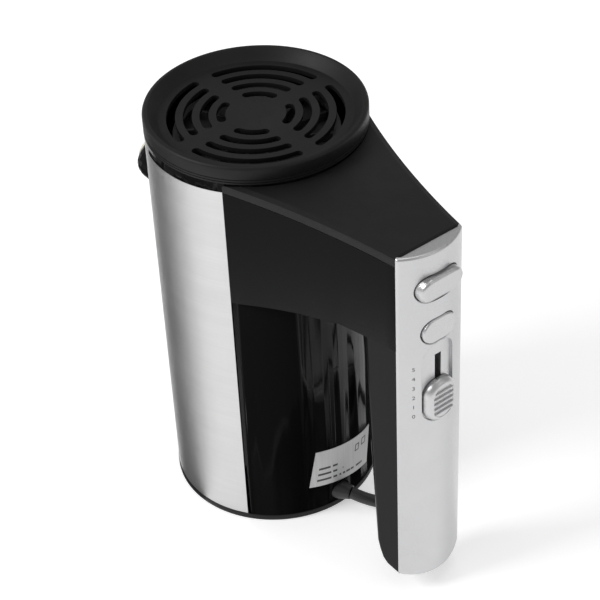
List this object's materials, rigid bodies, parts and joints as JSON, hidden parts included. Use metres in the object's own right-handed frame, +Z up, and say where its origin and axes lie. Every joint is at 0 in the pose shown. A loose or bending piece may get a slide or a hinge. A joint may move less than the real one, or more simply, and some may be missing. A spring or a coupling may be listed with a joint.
{
  "type": "hand mixer",
  "caption": "Upright hand mixer: round steel-wrapped motor housing, slotted lid, wide arm and vertical grip with eject, turbo and speed controls, cord with plug.",
  "frame": {"origin": "centre of the flat heel face that the mixer stands on", "axes": "+Z up along the motor housing, +X from the housing to the grip, beater sockets face -X"},
  "size_m": [0.2341, 0.1474, 0.1999],
  "materials": {
    "black_gloss": "moulded, gloss",
    "black_satin": "moulded, satin",
    "brushed_wrap": "brushed round the housing",
    "silver_paint": "silver lacquer on a moulding",
    "label_foil": "printed foil",
    "bright_steel": "bright",
    "nylon": "natural nylon",
    "dark_moulding": "moulded",
    "circuit_board": "lacquered board",
    "capacitor_case": "moulded",
    "alloy": "die cast",
    "brass": "turned",
    "carbon": "pressed carbon",
    "lamination": "stacked sheet",
    "copper": "enamelled copper",
    "cord_sheath": "moulded sheath"
  },
  "bodies": {
    "root": {"heel_cap": "black_satin", "heel_screws": "bright_steel", "body_shell": "black_gloss", "steel_wrap": "brushed_wrap", "beater_boss": "black_gloss", "lid_grille": "black_satin", "arm_shell": "black_gloss", "arm_top_cover": "black_gloss", "grip_shell": "black_gloss", "handle_face": "silver_paint", "rating_label": "label_foil", "ejector_spring": "bright_steel", "turbo_spring": "bright_steel", "turbo_switch": "dark_moulding", "speed_board": "circuit_board", "suppressor_capacitor": "capacitor_case", "triac_heatsink": "alloy", "rear_bracket": "alloy", "rear_bearing": "bright_steel", "brush_holders": "brass", "carbon_brushes": "carbon", "brush_springs": "bright_steel", "stator_core": "lamination", "field_coils": "copper", "motor_screws": "bright_steel", "gear_frame": "alloy", "front_bearing": "bright_steel", "top_bush": "brass", "front_spindle_bushes": "brass", "rear_spindle_bushes": "brass", "inner_lead": "cord_sheath", "cord_clamp": "dark_moulding", "clamp_screws": "bright_steel", "cord_guard": "cord_sheath", "mains_cord": "cord_sheath", "cord_coil": "cord_sheath", "cord_tie": "cord_sheath", "plug_lead": "cord_sheath", "mains_plug": "cord_sheath", "plug_pins": "bright_steel"},
    "armature": {"motor_shaft": "bright_steel", "commutator": "copper", "armature_core": "lamination", "armature_windings": "copper", "worm": "bright_steel", "cooling_fan": "dark_moulding"},
    "left_spindle": {"left_spindle_gear": "nylon"},
    "right_spindle": {"right_spindle_gear": "nylon"},
    "ejector": {"eject_button": "silver_paint", "ejector_yoke": "nylon"},
    "turbo": {"turbo_button": "silver_paint"},
    "slider": {"speed_knob": "silver_paint", "speed_carriage": "nylon"}
  },
  "joints": [
    {"name": "armature_spin", "type": "hinge", "parent": "root", "child": "armature", "pos_m": [0, 0, 0.08], "axis": [0, 0, 1], "continuous": true},
    {"name": "left_spindle_spin", "type": "hinge", "parent": "root", "child": "left_spindle", "pos_m": [0, 0.02, 0.157], "axis": [1, 0, 0], "continuous": true},
    {"name": "right_spindle_spin", "type": "hinge", "parent": "root", "child": "right_spindle", "pos_m": [0, -0.02, 0.157], "axis": [1, 0, 0], "continuous": true},
    {"name": "speed_slide", "type": "slide", "parent": "root", "child": "slider", "axis": [0, 0, 1], "range_m": [0, 0.019]},
    {"name": "turbo_press", "type": "slide", "parent": "root", "child": "turbo", "axis": [-1, 0, 0], "range_m": [0, 0.0015], "stiffness_N_per_m": 400, "springref_m": -0.001, "deforming": ["turbo_spring"]},
    {"name": "eject_press", "type": "slide", "parent": "root", "child": "ejector", "axis": [-1, 0, 0], "range_m": [0, 0.004], "stiffness_N_per_m": 800, "springref_m": -0.002, "deforming": ["ejector_spring"]}
  ],
  "couplings": [
    {"joint": "left_spindle_spin", "follows": "armature_spin", "ratio": 0.035714},
    {"joint": "right_spindle_spin", "follows": "armature_spin", "ratio": -0.035714}
  ]
}
